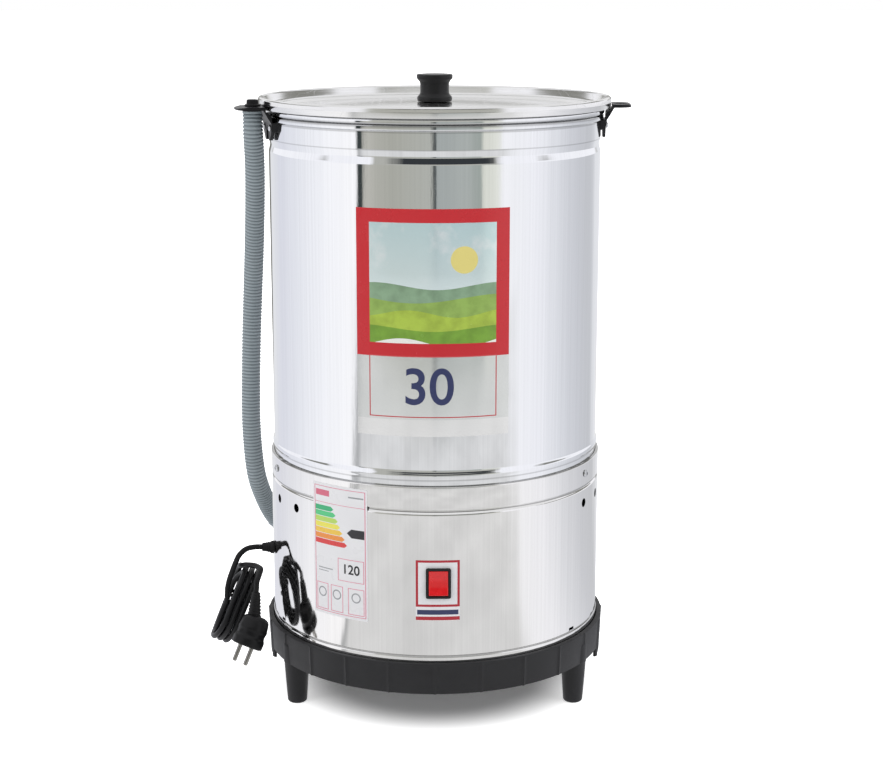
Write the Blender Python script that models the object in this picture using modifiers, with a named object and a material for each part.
"""Electric butter churn of the 30-litre class: a polished steel drum on a steel motor housing,
a moulded base tray with three legs, a pressed lid, an impeller driven by a belt, and a drain hose.

Metres, +Z up. The origin is on the floor under the drum's axis, and the switch faces -Y.
An azimuth is measured from the front (-Y), positive towards +X.
"""

from math import acos, asin, cos, pi, radians, sin, tau

import bmesh
import bpy
from mathutils import Matrix, Vector

# Clearances and sheet
GAP = 0.0003
SHEET = 0.0012
LID_SHEET = 0.001
TRAY_ROUND = 48
BIG_ROUND = 32
PULLEY_ROUND = 24
MID_ROUND = 16
SMALL_ROUND = 8

# Base tray and legs
LEG_HEIGHT = 0.046
LEG_TOP_RADIUS = 0.0134
LEG_FOOT_RADIUS = 0.0100
LEG_INSET = 0.0142
LEG_AZIMUTHS = (-60, 60, 180)
LEG_STEM_RADIUS = 0.0050
LEG_STEM_LENGTH = 0.012
TRAY_LIP = 0.0051
TRAY_HEIGHT = 0.033
TRAY_WALL = 0.003
TRAY_FLOOR = 0.003
TRAY_SKIRT = 0.004
TRAY_LEDGE_DEPTH = 0.0055
TRAY_LEDGE_WIDTH = 0.0045
TRAY_TAPER = 0.0012
RIB_COUNT = 24
RIB_WIDTH = 0.003
RIB_HEIGHT = 0.0012
GRIP_DROP = 0.010
GRIP_AZIMUTH = 79
GRIP_SPAN = 10

# Motor housing
HOUSING_STEP = 0.0034
GROOVE_HEIGHT = 0.1646
COLLAR_HEIGHT = 0.0263
HEM_HEIGHT = 0.0115
HEM_PROUD = 0.0007
GROOVE_DEPTH = 0.0024
SHELF_SLOPE = 0.0006
GROOVE_WIDTH = 0.004
VENT_RADIUS = 0.0047
VENT_DROP = 0.0169
VENT_AZIMUTHS = (-54.4, -68.0, 61.8, 75.4, 173.2, 186.8)
HOUSING_SCREW_RISE = 0.0146
HOUSING_SCREW_RADIUS = 0.0020
HOUSING_SCREW_AZIMUTHS = (-70.4, 62.6, 180.0)
SLOT_LENGTH = 0.009
SLOT_HEIGHT = 0.003
SLOT_AZIMUTHS = (54.2, -65.8, 174.2)
SLOT_RISE = 0.0147

# Drum
DRUM_RADIUS = 0.1750
DRUM_HEIGHT = 0.3561
RIM_PROUD = 0.0036
RIM_BEAD_HEIGHT = 0.0058
BAND_HEIGHT = 0.0064
BAND_PROUD = 0.0026
NECK_DROP = 0.0346
NECK_DEPTH = 0.0017
NECK_WIDTH = 0.014
FOOT_BEAD_RISE = 0.0103
FOOT_BEAD_PROUD = 0.0020
FOOT_BEAD_HEIGHT = 0.008
FLOOR_DROP = 0.0012
FLOOR_FLANGE = 0.0065
FLOOR_SHEET = 0.0015
HUB_RISE = 0.0035
HUB_RADIUS = 0.036

# Lid and knob
LID_OVERHANG = 0.0105
LID_RIM_RISE = 0.0119
LID_RECESS = 0.0030
LID_CROWN = 0.0066
LID_RIM_WIDTH = 0.0075
KNOB_RADIUS = 0.0190
KNOB_WAIST = 0.0150
KNOB_HEIGHT = 0.0283
KNOB_SCREW_RADIUS = 0.0023

# Handles, one moulding each; the left one also carries the hose
HANDLE_TIP_WALL = 0.0040
LEFT_HANDLE_AZIMUTH = -73
RIGHT_HANDLE_AZIMUTH = 86
HANDLE_WIDTH = 0.044
HANDLE_CORNER = 0.014
HANDLE_THICKNESS = 0.0034
ARM_RISE = 0.0040
LOOP_RADIUS = 0.0072
HANDLE_TIP_DROOP = 0.0014
TAB_LENGTH = 0.0180
TAB_SLOT_WIDTH = 0.010
HANDLE_SCREW_SPACING = 0.028
HANDLE_SCREW_RADIUS = 0.0020

# Drain
HOSE_RADIUS = 0.0105
HOSE_STEP = 0.022
HOSE_SEAT_OFFSET = 0.0093
HOSE_STOP = 0.0017
STOPPER_RADIUS = 0.0064
DRAIN_AZIMUTH = -118
DRAIN_INSET = 0.0488
DRAIN_RADIUS = 0.0105
OUTLET_AZIMUTH = -120.7
OUTLET_RISE = 0.0614
ELBOW_RADIUS = 0.0100
ELBOW_BALL = 0.0116
ELBOW_STAND = 0.0136
ELBOW_SPIGOT = 0.0144
ELBOW_LEG = 0.022

# Drive
SHAFT_RADIUS = 0.0072
SHAFT_END_RADIUS = 0.0055
BEARING_RADIUS = 0.0175
BEARING_HEIGHT = 0.011
BEARING_HOUSING_LENGTH = 0.080
BEARING_HOUSING_RADIUS = 0.0225
BEARING_SCREW_CIRCLE = 0.0285
BEARING_SCREW_RADIUS = 0.0025
IMPELLER_RADIUS = 0.085
IMPELLER_DISC = 0.003
VANE_COUNT = 4
VANE_HEIGHT = 0.020
VANE_THICKNESS = 0.003
PULLEY_RISE = 0.0217
PULLEY_CLEARANCE = 0.003
PULLEY_RIM = 0.014
MOTOR_PULLEY_RADIUS = 0.022
GROOVE_FLOOR = 0.007
BELT_HEIGHT = 0.008
BELT_THICKNESS = 0.0065
MOTOR_CLEARANCE = 0.0052
MOTOR_AZIMUTH = 150
MOTOR_RADIUS = 0.055
MOTOR_HEIGHT = 0.066
MOTOR_SHAFT_RADIUS = 0.006
MOTOR_PLATE_RADIUS = 0.070
MOTOR_PLATE = 0.003
MOTOR_SCREW_CIRCLE = 0.0625
MOTOR_SCREW_RADIUS = 0.0020
CAPACITOR_RADIUS = 0.0175
CAPACITOR_LENGTH = 0.070
CAPACITOR_AZIMUTH = 60
CAPACITOR_INSET = 0.0452

# Switch
SWITCH_AZIMUTH = 1.1
SWITCH_RISE = 0.0902
BEZEL_WIDTH = 0.0256
BEZEL_HEIGHT = 0.0320
BEZEL_THICKNESS = 0.0022
SWITCH_DEPTH = 0.020
ROCKER_WIDTH = 0.0196
ROCKER_HEIGHT = 0.0250
ROCKER_TILT = 10

# Mains lead
CORD_RADIUS = 0.003
GLAND_AZIMUTH = -79
GLAND_RISE = 0.0832
GLAND_LENGTH = 0.013
GLAND_NECK_RADIUS = 0.0055
GLAND_FLANGE_RADIUS = 0.0072
COIL_CENTRE = Vector((-0.2178, -0.0450, 0.0965))
COIL_LENGTH = 0.0895
COIL_WIDTH = 0.065
COIL_DEPTH = 0.0265
COIL_BUNDLE = 0.0125
COIL_LEAN = 22
TIE_WIDTH = 0.004
TIE_THICKNESS = 0.0010
PLUG_RADIUS = 0.0170
PLUG_LENGTH = 0.034
PLUG_FACE = Vector((-0.2005, -0.1100, 0.0710))
PLUG_ENTRY = Vector((-0.1900, -0.0950, 0.1265))
PIN_DIRECTION = Vector((-0.36, -0.33, -0.87)).normalized()
PIN_RADIUS = 0.0024
PIN_LENGTH = 0.019
PIN_SPACING = 0.019

# Levels and radii that follow from the sizes above
TRAY_TOP = LEG_HEIGHT + TRAY_HEIGHT
TRAY_FLOOR_TOP = LEG_HEIGHT + TRAY_SKIRT + TRAY_FLOOR
TRAY_LEDGE_Z = TRAY_TOP - TRAY_LEDGE_DEPTH
HOUSING_RADIUS = DRUM_RADIUS + HOUSING_STEP
HOUSING_INSIDE = HOUSING_RADIUS - SHEET
HOUSING_BOTTOM = TRAY_LEDGE_Z + GAP
GROOVE_Z = HOUSING_BOTTOM + GROOVE_HEIGHT
HOUSING_TOP = GROOVE_Z + COLLAR_HEIGHT
VENT_Z = GROOVE_Z - VENT_DROP
SLOT_Z = HOUSING_BOTTOM + SLOT_RISE
HOUSING_SCREW_Z = GROOVE_Z + HOUSING_SCREW_RISE
TRAY_LIP_INSIDE = HOUSING_RADIUS + HEM_PROUD + 2 * GAP
TRAY_LEDGE_INSIDE = TRAY_LIP_INSIDE - TRAY_LEDGE_WIDTH
TRAY_RADIUS = TRAY_LIP_INSIDE + TRAY_LIP + RIB_HEIGHT
LEG_CIRCLE = TRAY_RADIUS - LEG_INSET
GROOVE_TOP = GROOVE_Z + GROOVE_WIDTH / 2
DRUM_FOOT = GROOVE_TOP + GAP
DRUM_INSIDE = DRUM_RADIUS - SHEET
FOOT_BEAD_Z = HOUSING_TOP + FOOT_BEAD_RISE
FLOOR_Z = HOUSING_TOP - FLOOR_DROP
RIM_TOP = FOOT_BEAD_Z + DRUM_HEIGHT
NECK_Z = RIM_TOP - NECK_DROP
HUB_TOP = FLOOR_Z + HUB_RISE
HUB_UNDER = HUB_TOP - FLOOR_SHEET
NECK_OF_BEARING = 0.0205
SEAL_TOP = HUB_TOP + 0.002
SEAL_HEIGHT = 0.007
BEARING_FLANGE = 0.005
UPPER_BEARING_TOP = SEAL_TOP - SEAL_HEIGHT - GAP
BEARING_HOUSING_BOTTOM = SEAL_TOP - BEARING_HOUSING_LENGTH - 0.004
BEARING_BORE = BEARING_RADIUS + GAP
LID_RADIUS = DRUM_RADIUS + LID_OVERHANG
LEDGE_UNDER = RIM_TOP + GAP
LEDGE_TOP = LEDGE_UNDER + LID_SHEET
LID_RIM_TOP = RIM_TOP + LID_RIM_RISE
LID_CENTRE_TOP = LEDGE_TOP - LID_RECESS + LID_CROWN
KNOB_BOTTOM = LID_CENTRE_TOP + GAP
IMPELLER_BOTTOM = SEAL_TOP + 0.007
IMPELLER_TOP = IMPELLER_BOTTOM + IMPELLER_DISC
IMPELLER_HUB_TOP = IMPELLER_TOP + 0.012
MOTOR_CIRCLE = TRAY_LEDGE_INSIDE - MOTOR_PLATE_RADIUS - MOTOR_CLEARANCE
MOTOR_PLATE_Z = TRAY_FLOOR_TOP + 0.006
MOTOR_BOTTOM = MOTOR_PLATE_Z + MOTOR_PLATE + GAP
MOTOR_TOP = MOTOR_BOTTOM + MOTOR_HEIGHT
PULLEY_Z = MOTOR_TOP + PULLEY_RISE
PULLEY_RADIUS = MOTOR_CIRCLE - MOTOR_PULLEY_RADIUS - PULLEY_CLEARANCE
PULLEY_HUB_TOP = PULLEY_Z + 0.013
PULLEY_HUB_BOTTOM = PULLEY_Z - 0.008
CAPACITOR_CIRCLE = TRAY_LEDGE_INSIDE - CAPACITOR_INSET
SWITCH_Z = HOUSING_BOTTOM + SWITCH_RISE
GLAND_Z = HOUSING_BOTTOM + GLAND_RISE
OUTLET_Z = HOUSING_BOTTOM + OUTLET_RISE
ELBOW_CIRCLE = HOUSING_RADIUS + ELBOW_STAND
ELBOW_INNER = HOUSING_RADIUS - ELBOW_SPIGOT
DRAIN_CIRCLE = DRUM_INSIDE - DRAIN_INSET
HOSE_SEAT_RADIUS = LID_RADIUS + HOSE_SEAT_OFFSET
ARM_TOP = RIM_TOP + ARM_RISE
ARM_LOW = ARM_TOP - HANDLE_THICKNESS
HOSE_TOP = ARM_LOW - HOSE_STOP
HANDLE_SPAN = 2 * (HOSE_SEAT_RADIUS + LOOP_RADIUS + HANDLE_TIP_WALL)
HANDLE_HALF = HANDLE_WIDTH / 2


def clear_scene():
    for old in list(bpy.data.objects):
        bpy.data.objects.remove(old, do_unlink=True)


def make_collection(name):
    made = bpy.data.collections.new(name)
    bpy.context.scene.collection.children.link(made)
    return made


def make_material(name, colour, roughness, metallic=0.0):
    material = bpy.data.materials.new(name)
    material.use_nodes = True
    shader = material.node_tree.nodes["Principled BSDF"]
    shader.inputs["Base Color"].default_value = (*colour, 1.0)
    shader.inputs["Roughness"].default_value = roughness
    shader.inputs["Metallic"].default_value = metallic
    material.diffuse_color = (*colour, 1.0)
    return material


def polar(radius, azimuth, z=0.0):
    """A point at an azimuth from the front, positive towards +X."""
    turn = radians(azimuth)
    return Vector((radius * sin(turn), -radius * cos(turn), z))


def around(radius, sides=SMALL_ROUND):
    """The radius of a faceted hole whose flats clear a round piece of the given radius."""
    return (radius + GAP) / cos(pi / sides)


def radial_turn(azimuth):
    """The turn about Z that brings local +X to point outwards at an azimuth."""
    return radians(azimuth - 90)


def new_object(name, data, material, collection=None):
    made = bpy.data.objects.new(name, data)
    (collection or parts).objects.link(made)
    if material:
        data.materials.append(material)
    return made


def as_cutter(made):
    made.hide_render = True
    made.display_type = "WIRE"
    return made


def boolean(target, tool, operation="DIFFERENCE"):
    modifier = target.modifiers.new(f"{operation.lower()} {tool.name}", "BOOLEAN")
    modifier.operation = operation
    modifier.solver = "EXACT"
    modifier.object = tool
    return target


def turned(name, profile, material, steps=MID_ROUND, collection=None):
    """A turned solid. The profile runs from the top, down the outside and back up the inside.

    A profile that starts and ends on the axis is left open there, and any other is closed.
    """
    mesh = bpy.data.meshes.new(name)
    count = len(profile)
    edges = [(i, i + 1) for i in range(count - 1)]
    on_axis = profile[0][0] == 0 and profile[-1][0] == 0
    if not on_axis:
        edges.append((count - 1, 0))
    mesh.from_pydata([(r, 0, z) for r, z in profile], edges, [])
    made = new_object(name, mesh, material, collection)
    screw = made.modifiers.new("turn", "SCREW")
    screw.axis = "Z"
    screw.angle = tau
    screw.steps = steps
    screw.render_steps = steps
    screw.use_merge_vertices = True
    screw.merge_threshold = 0.00001
    screw.use_smooth_shade = True
    return made


def rod(name, radius, start, end, material, sides=SMALL_ROUND, end_radius=None, collection=None):
    """A round bar, or a cone, between two points."""
    start, end = Vector(start), Vector(end)
    shape = bmesh.new()
    bmesh.ops.create_cone(
        shape,
        cap_ends=True,
        segments=sides,
        radius1=radius,
        radius2=radius if end_radius is None else end_radius,
        depth=(end - start).length,
    )
    mesh = bpy.data.meshes.new(name)
    shape.to_mesh(mesh)
    shape.free()
    mesh.shade_smooth()
    mesh.set_sharp_from_angle(angle=radians(35))
    made = new_object(name, mesh, material, collection)
    made.location = (start + end) / 2
    made.rotation_euler = Vector((0, 0, 1)).rotation_difference(end - start).to_euler()
    return made


def block(name, low, high, material, bevel=0.0, collection=None):
    """A box between two corners, with its edges rounded by a bevel."""
    low, high = Vector(low), Vector(high)
    shape = bmesh.new()
    bmesh.ops.create_cube(shape, size=1.0)
    bmesh.ops.scale(shape, vec=high - low, verts=shape.verts)
    bmesh.ops.translate(shape, vec=(high + low) / 2, verts=shape.verts)
    mesh = bpy.data.meshes.new(name)
    shape.to_mesh(mesh)
    shape.free()
    made = new_object(name, mesh, material, collection)
    if bevel:
        rounded = made.modifiers.new("edges", "BEVEL")
        rounded.width = bevel
        rounded.segments = 2
        rounded.limit_method = "ANGLE"
    return made


def outline_solid(name, outlines, low, high, material, collection=None):
    """Flat outlines in XY filled and raised from low to high; an outline inside another is a hole."""
    curve = bpy.data.curves.new(name, "CURVE")
    curve.dimensions = "2D"
    curve.fill_mode = "BOTH"
    curve.extrude = (high - low) / 2
    for outline in outlines:
        spline = curve.splines.new("POLY")
        spline.points.add(len(outline) - 1)
        for point, (x, y) in zip(spline.points, outline):
            point.co = (x, y, 0, 1)
        spline.use_cyclic_u = True
    guide = new_object(f"{name} outline", curve, None, cutters)
    guide.location.z = (high + low) / 2
    return meshed(guide, name, material, collection)


def meshed(guide, name, material, collection=None):
    """The mesh of a curve object, with its caps welded. The curve itself is removed."""
    bpy.context.view_layer.update()
    graph = bpy.context.evaluated_depsgraph_get()
    mesh = bpy.data.meshes.new_from_object(guide.evaluated_get(graph))
    shape = bmesh.new()
    shape.from_mesh(mesh)
    bmesh.ops.remove_doubles(shape, verts=shape.verts, dist=0.000001)
    bmesh.ops.recalc_face_normals(shape, faces=shape.faces)
    shape.to_mesh(mesh)
    shape.free()
    place = guide.matrix_world.copy()
    bpy.data.objects.remove(guide, do_unlink=True)
    made = new_object(name, mesh, material, collection)
    made.matrix_world = place
    return made


def smooth_route(points, spacing):
    """Evenly spaced points on a smooth curve through the route's own points."""
    ends = [2 * points[0] - points[1], *points, 2 * points[-1] - points[-2]]
    fine = []
    for before, start, end, after in zip(ends, ends[1:], ends[2:], ends[3:]):
        for step in range(20):
            t = step / 20
            fine.append(
                0.5
                * (
                    2 * start
                    + (end - before) * t
                    + (2 * before - 5 * start + 4 * end - after) * t**2
                    + (3 * start - before - 3 * end + after) * t**3
                )
            )
    fine.append(points[-1])
    long = sum((b - a).length for a, b in zip(fine, fine[1:]))
    count = max(2, round(long / spacing))
    kept, run, target = [fine[0]], 0.0, long / count
    for a, b in zip(fine, fine[1:]):
        step = (b - a).length
        while run + step >= target and len(kept) < count:
            kept.append(a + (b - a) * ((target - run) / step))
            target += long / count
        run += step
    kept.append(fine[-1])
    return kept


def tube(name, points, radius, material, resolution=2, collection=None):
    """A round bar along a list of points, with filled ends."""
    curve = bpy.data.curves.new(name, "CURVE")
    curve.dimensions = "3D"
    curve.bevel_depth = radius
    curve.bevel_resolution = resolution
    curve.use_fill_caps = True
    spline = curve.splines.new("POLY")
    spline.points.add(len(points) - 1)
    for point, place in zip(spline.points, points):
        point.co = (*place, 1)
    return new_object(name, curve, material, collection)


def arc(centre, radius, start, end, steps):
    """Points of an arc in a plane, angles in degrees."""
    turns = [radians(start + (end - start) * i / steps) for i in range(steps + 1)]
    return [(centre[0] + radius * cos(t), centre[1] + radius * sin(t)) for t in turns]


def rounded_rectangle(width, height, corner, steps=4):
    """The outline of a rectangle with round corners, about the origin."""
    x, y = width / 2 - corner, height / 2 - corner
    outline = []
    for turn, (cx, cy) in zip((0, 90, 180, 270), ((x, y), (-x, y), (-x, -y), (x, -y))):
        outline += arc((cx, cy), corner, turn, turn + 90, steps)
    return outline


def hexagon(radius):
    return [(radius * cos(radians(60 * i)), radius * sin(radians(60 * i))) for i in range(6)]


def circle(radius, sides, centre=(0.0, 0.0)):
    return arc(centre, radius, 0, 360 * (1 - 1 / sides), sides - 1)


def wall_hole(target, radius, azimuth, z, wall_radius, name, sides=SMALL_ROUND):
    """A round hole through a wall, square to it."""
    reach = 0.012
    tool = rod(
        name,
        radius,
        polar(wall_radius - reach, azimuth, z),
        polar(wall_radius + reach, azimuth, z),
        None,
        sides,
        collection=cutters,
    )
    boolean(target, as_cutter(tool))


# Base tray and legs


def make_tray():
    """The moulded tray: a skirted pan with a ledge for the housing, ribs, leg bosses and grips."""
    wall = TRAY_RADIUS - RIB_HEIGHT
    foot = wall - TRAY_TAPER
    profile = [
        (0.0, TRAY_FLOOR_TOP),
        (TRAY_LEDGE_INSIDE, TRAY_FLOOR_TOP),
        (TRAY_LEDGE_INSIDE, TRAY_LEDGE_Z),
        (TRAY_LIP_INSIDE, TRAY_LEDGE_Z),
        (TRAY_LIP_INSIDE, TRAY_TOP),
        (wall, TRAY_TOP),
        (foot, LEG_HEIGHT),
        (foot - TRAY_WALL, LEG_HEIGHT),
        (foot - TRAY_WALL, LEG_HEIGHT + TRAY_SKIRT),
        (0.0, LEG_HEIGHT + TRAY_SKIRT),
    ]
    tray = turned("base_tray", profile, plastic, TRAY_ROUND)
    ribs = make_ribs(wall)
    boolean(tray, ribs, "UNION")
    for i, azimuth in enumerate(LEG_AZIMUTHS):
        boss = rod(
            f"leg boss {i + 1}",
            LEG_TOP_RADIUS,
            polar(LEG_CIRCLE, azimuth, LEG_HEIGHT),
            polar(LEG_CIRCLE, azimuth, TRAY_LEDGE_Z - 0.004),
            None,
            MID_ROUND,
            collection=cutters,
        )
        boolean(tray, as_cutter(boss), "UNION")
        socket = rod(
            f"leg socket {i + 1}",
            around(LEG_STEM_RADIUS),
            polar(LEG_CIRCLE, azimuth, LEG_HEIGHT - 0.002),
            polar(LEG_CIRCLE, azimuth, LEG_HEIGHT + LEG_STEM_LENGTH + GAP),
            None,
            collection=cutters,
        )
        boolean(tray, as_cutter(socket))
    for azimuth in (-GRIP_AZIMUTH, GRIP_AZIMUTH):
        boolean(tray, make_grip(azimuth, foot), "UNION")
    for i, place in enumerate(motor_screw_places()):
        boss = rod(
            f"motor boss {i + 1}",
            0.006,
            (*place, TRAY_FLOOR_TOP - 0.001),
            (*place, MOTOR_PLATE_Z - GAP),
            None,
            collection=cutters,
        )
        boolean(tray, as_cutter(boss), "UNION")
        hole = rod(
            f"motor boss hole {i + 1}",
            around(MOTOR_SCREW_RADIUS),
            (*place, TRAY_FLOOR_TOP + 0.0005),
            (*place, MOTOR_PLATE_Z + 0.002),
            None,
            collection=cutters,
        )
        boolean(tray, as_cutter(hole))
    return tray


def make_ribs(wall):
    """All the vertical ribs of the tray's wall, as one tool."""
    shape = bmesh.new()
    for i in range(RIB_COUNT):
        made = bmesh.ops.create_cube(shape, size=1.0)["verts"]
        bmesh.ops.scale(
            shape, vec=(RIB_HEIGHT + 0.0015, RIB_WIDTH, TRAY_HEIGHT - 0.0015), verts=made
        )
        bmesh.ops.translate(
            shape,
            vec=(wall + (RIB_HEIGHT - 0.0015) / 2, 0, LEG_HEIGHT + (TRAY_HEIGHT - 0.0015) / 2),
            verts=made,
        )
        bmesh.ops.rotate(
            shape, cent=(0, 0, 0), matrix=Matrix.Rotation(tau * i / RIB_COUNT, 3, "Z"), verts=made
        )
    mesh = bpy.data.meshes.new("tray ribs")
    shape.to_mesh(mesh)
    shape.free()
    return as_cutter(new_object("tray ribs", mesh, None, cutters))


def make_grip(azimuth, radius):
    """The deeper stretch of the tray's wall beside each front leg, where fingers lift it."""
    half = GRIP_SPAN / 2
    outer = [polar(radius, azimuth - half + GRIP_SPAN * i / 4) for i in range(5)]
    inner = [polar(radius - TRAY_WALL, azimuth + half - GRIP_SPAN * i / 4) for i in range(5)]
    outline = [(p.x, p.y) for p in outer + inner]
    low, high = LEG_HEIGHT - GRIP_DROP, LEG_HEIGHT + 0.010
    return as_cutter(outline_solid(f"grip {azimuth}", [outline], low, high, None, cutters))


def make_leg(number, azimuth):
    """A tapered leg with a stem that pushes into the tray's boss."""
    profile = [
        (0.0, LEG_HEIGHT + LEG_STEM_LENGTH),
        (LEG_STEM_RADIUS, LEG_HEIGHT + LEG_STEM_LENGTH),
        (LEG_STEM_RADIUS, LEG_HEIGHT - GAP),
        (LEG_TOP_RADIUS, LEG_HEIGHT - GAP),
        (LEG_FOOT_RADIUS + 0.0008, 0.0025),
        (LEG_FOOT_RADIUS - 0.0006, 0.0),
        (0.0, 0.0),
    ]
    leg = turned(f"leg_{number}", profile, plastic, MID_ROUND)
    leg.location = polar(LEG_CIRCLE, azimuth)
    return leg


# Housing and drum


def make_housing():
    """The polished skirt: a turned-in top edge, a groove that carries the drum, and a hem."""
    groove_low = GROOVE_Z - GROOVE_WIDTH / 2
    hem_top = HOUSING_BOTTOM + HEM_HEIGHT
    outside = [
        (DRUM_RADIUS + GAP, HOUSING_TOP),
        (HOUSING_RADIUS - 0.0014, HOUSING_TOP),
        (HOUSING_RADIUS, HOUSING_TOP - 0.0014),
        (HOUSING_RADIUS, GROOVE_TOP),
        (HOUSING_RADIUS - GROOVE_DEPTH, GROOVE_Z),
        (HOUSING_RADIUS, groove_low),
        (HOUSING_RADIUS, hem_top),
        (HOUSING_RADIUS + HEM_PROUD, hem_top - 0.0010),
        (HOUSING_RADIUS + HEM_PROUD, HOUSING_BOTTOM),
    ]
    inside = [
        (HOUSING_INSIDE, HOUSING_BOTTOM),
        (HOUSING_INSIDE, groove_low - SHELF_SLOPE),
        (DRUM_INSIDE, GROOVE_Z),
        (DRUM_INSIDE, GROOVE_TOP),
        (DRUM_RADIUS + SHELF_SLOPE, GROOVE_TOP),
        (HOUSING_INSIDE, GROOVE_TOP + SHELF_SLOPE),
        (HOUSING_INSIDE, HOUSING_TOP - 0.0020),
        (HOUSING_INSIDE - 0.0010, HOUSING_TOP - SHEET),
        (DRUM_RADIUS + GAP, HOUSING_TOP - SHEET),
    ]
    housing = turned("motor_housing", outside + inside, steel, BIG_ROUND)
    for i, azimuth in enumerate(VENT_AZIMUTHS):
        wall_hole(housing, VENT_RADIUS, azimuth, VENT_Z, HOUSING_RADIUS, f"vent {i + 1}")
    for i, azimuth in enumerate(HOUSING_SCREW_AZIMUTHS):
        name = f"housing screw hole {i + 1}"
        radius = around(HOUSING_SCREW_RADIUS)
        wall_hole(housing, radius, azimuth, HOUSING_SCREW_Z, HOUSING_RADIUS, name)
    outlet = around(ELBOW_RADIUS, MID_ROUND)
    wall_hole(housing, outlet, OUTLET_AZIMUTH, OUTLET_Z, HOUSING_RADIUS, "outlet hole", MID_ROUND)
    gland = around(GLAND_NECK_RADIUS)
    wall_hole(housing, gland, GLAND_AZIMUTH, GLAND_Z, HOUSING_RADIUS, "gland hole")
    for i, azimuth in enumerate(SLOT_AZIMUTHS):
        slot = block(
            f"slot {i + 1}",
            (-SLOT_LENGTH / 2, -0.006, -SLOT_HEIGHT / 2),
            (SLOT_LENGTH / 2, 0.006, SLOT_HEIGHT / 2),
            None,
            collection=cutters,
        )
        slot.location = polar(HOUSING_RADIUS, azimuth, SLOT_Z)
        slot.rotation_euler.z = radians(azimuth)
        boolean(housing, as_cutter(slot))
    window = block(
        "switch window",
        (-ROCKER_WIDTH / 2 - 0.0017, -0.008, -ROCKER_HEIGHT / 2 - 0.0022),
        (ROCKER_WIDTH / 2 + 0.0017, 0.008, ROCKER_HEIGHT / 2 + 0.0022),
        None,
        collection=cutters,
    )
    window.location = polar(HOUSING_RADIUS, SWITCH_AZIMUTH, SWITCH_Z)
    window.rotation_euler.z = radians(SWITCH_AZIMUTH)
    boolean(housing, as_cutter(window))
    return housing


def make_drum():
    """The vessel's wall: rolled rim, second bead, neck groove, foot bead and lower skirt."""
    bead_bottom = RIM_TOP - RIM_BEAD_HEIGHT
    band_bottom = bead_bottom - BAND_HEIGHT
    outside = [
        (DRUM_INSIDE, RIM_TOP),
        (DRUM_RADIUS + RIM_PROUD - 0.0010, RIM_TOP),
        (DRUM_RADIUS + RIM_PROUD, RIM_TOP - 0.0014),
        (DRUM_RADIUS + RIM_PROUD, bead_bottom + 0.0014),
        (DRUM_RADIUS + 0.0004, bead_bottom),
        (DRUM_RADIUS + BAND_PROUD, bead_bottom - 0.0020),
        (DRUM_RADIUS + BAND_PROUD, band_bottom + 0.0020),
        (DRUM_RADIUS, band_bottom),
        (DRUM_RADIUS, NECK_Z + NECK_WIDTH / 2),
        (DRUM_RADIUS - NECK_DEPTH, NECK_Z),
        (DRUM_RADIUS, NECK_Z - NECK_WIDTH / 2),
        (DRUM_RADIUS, FOOT_BEAD_Z + FOOT_BEAD_HEIGHT / 2),
        (DRUM_RADIUS + FOOT_BEAD_PROUD, FOOT_BEAD_Z),
        (DRUM_RADIUS, FOOT_BEAD_Z - FOOT_BEAD_HEIGHT / 2),
        (DRUM_RADIUS, DRUM_FOOT),
    ]
    inside = [
        (DRUM_INSIDE, DRUM_FOOT),
        (DRUM_INSIDE, NECK_Z - NECK_WIDTH / 2),
        (DRUM_INSIDE - NECK_DEPTH, NECK_Z),
        (DRUM_INSIDE, NECK_Z + NECK_WIDTH / 2),
    ]
    drum = turned("churn_drum", outside + inside, steel, BIG_ROUND)
    for i, azimuth in enumerate(HOUSING_SCREW_AZIMUTHS):
        name = f"drum screw hole {i + 1}"
        radius = around(HOUSING_SCREW_RADIUS)
        wall_hole(drum, radius, azimuth, HOUSING_SCREW_Z, DRUM_RADIUS, name)
    for i, (azimuth, side) in enumerate(handle_screw_seats()):
        name = f"handle screw hole {i + 1}"
        radius = around(HANDLE_SCREW_RADIUS)
        hole = handle_screw_rod(name, azimuth, side, radius, -0.012, 0.012)
        boolean(drum, as_cutter(hole))
    return drum


def make_drum_floor():
    """The vessel's floor: a pressed pan whose edge turns down inside the wall, raised round the bearing."""
    edge = DRUM_INSIDE - GAP
    pan = [
        (NECK_OF_BEARING + GAP, HUB_TOP),
        (HUB_RADIUS, HUB_TOP),
        (HUB_RADIUS + 0.010, FLOOR_Z),
        (edge, FLOOR_Z),
        (edge, FLOOR_Z - FLOOR_FLANGE),
        (edge - FLOOR_SHEET, FLOOR_Z - FLOOR_FLANGE),
        (edge - FLOOR_SHEET, FLOOR_Z - FLOOR_SHEET),
        (HUB_RADIUS + 0.009, FLOOR_Z - FLOOR_SHEET),
        (HUB_RADIUS - 0.0006, HUB_UNDER),
        (NECK_OF_BEARING + GAP, HUB_UNDER),
    ]
    floor = turned("drum_floor", pan, steel, BIG_ROUND)
    drain = rod(
        "drain hole",
        around(DRAIN_RADIUS, MID_ROUND),
        polar(DRAIN_CIRCLE, DRAIN_AZIMUTH, FLOOR_Z - 0.010),
        polar(DRAIN_CIRCLE, DRAIN_AZIMUTH, FLOOR_Z + 0.010),
        None,
        MID_ROUND,
        collection=cutters,
    )
    boolean(floor, as_cutter(drain))
    for i, place in enumerate(bearing_screw_places()):
        hole = rod(
            f"bearing screw hole {i + 1}",
            around(BEARING_SCREW_RADIUS),
            (*place, HUB_UNDER - 0.003),
            (*place, HUB_TOP + 0.003),
            None,
            collection=cutters,
        )
        boolean(floor, as_cutter(hole))
    return floor


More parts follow.
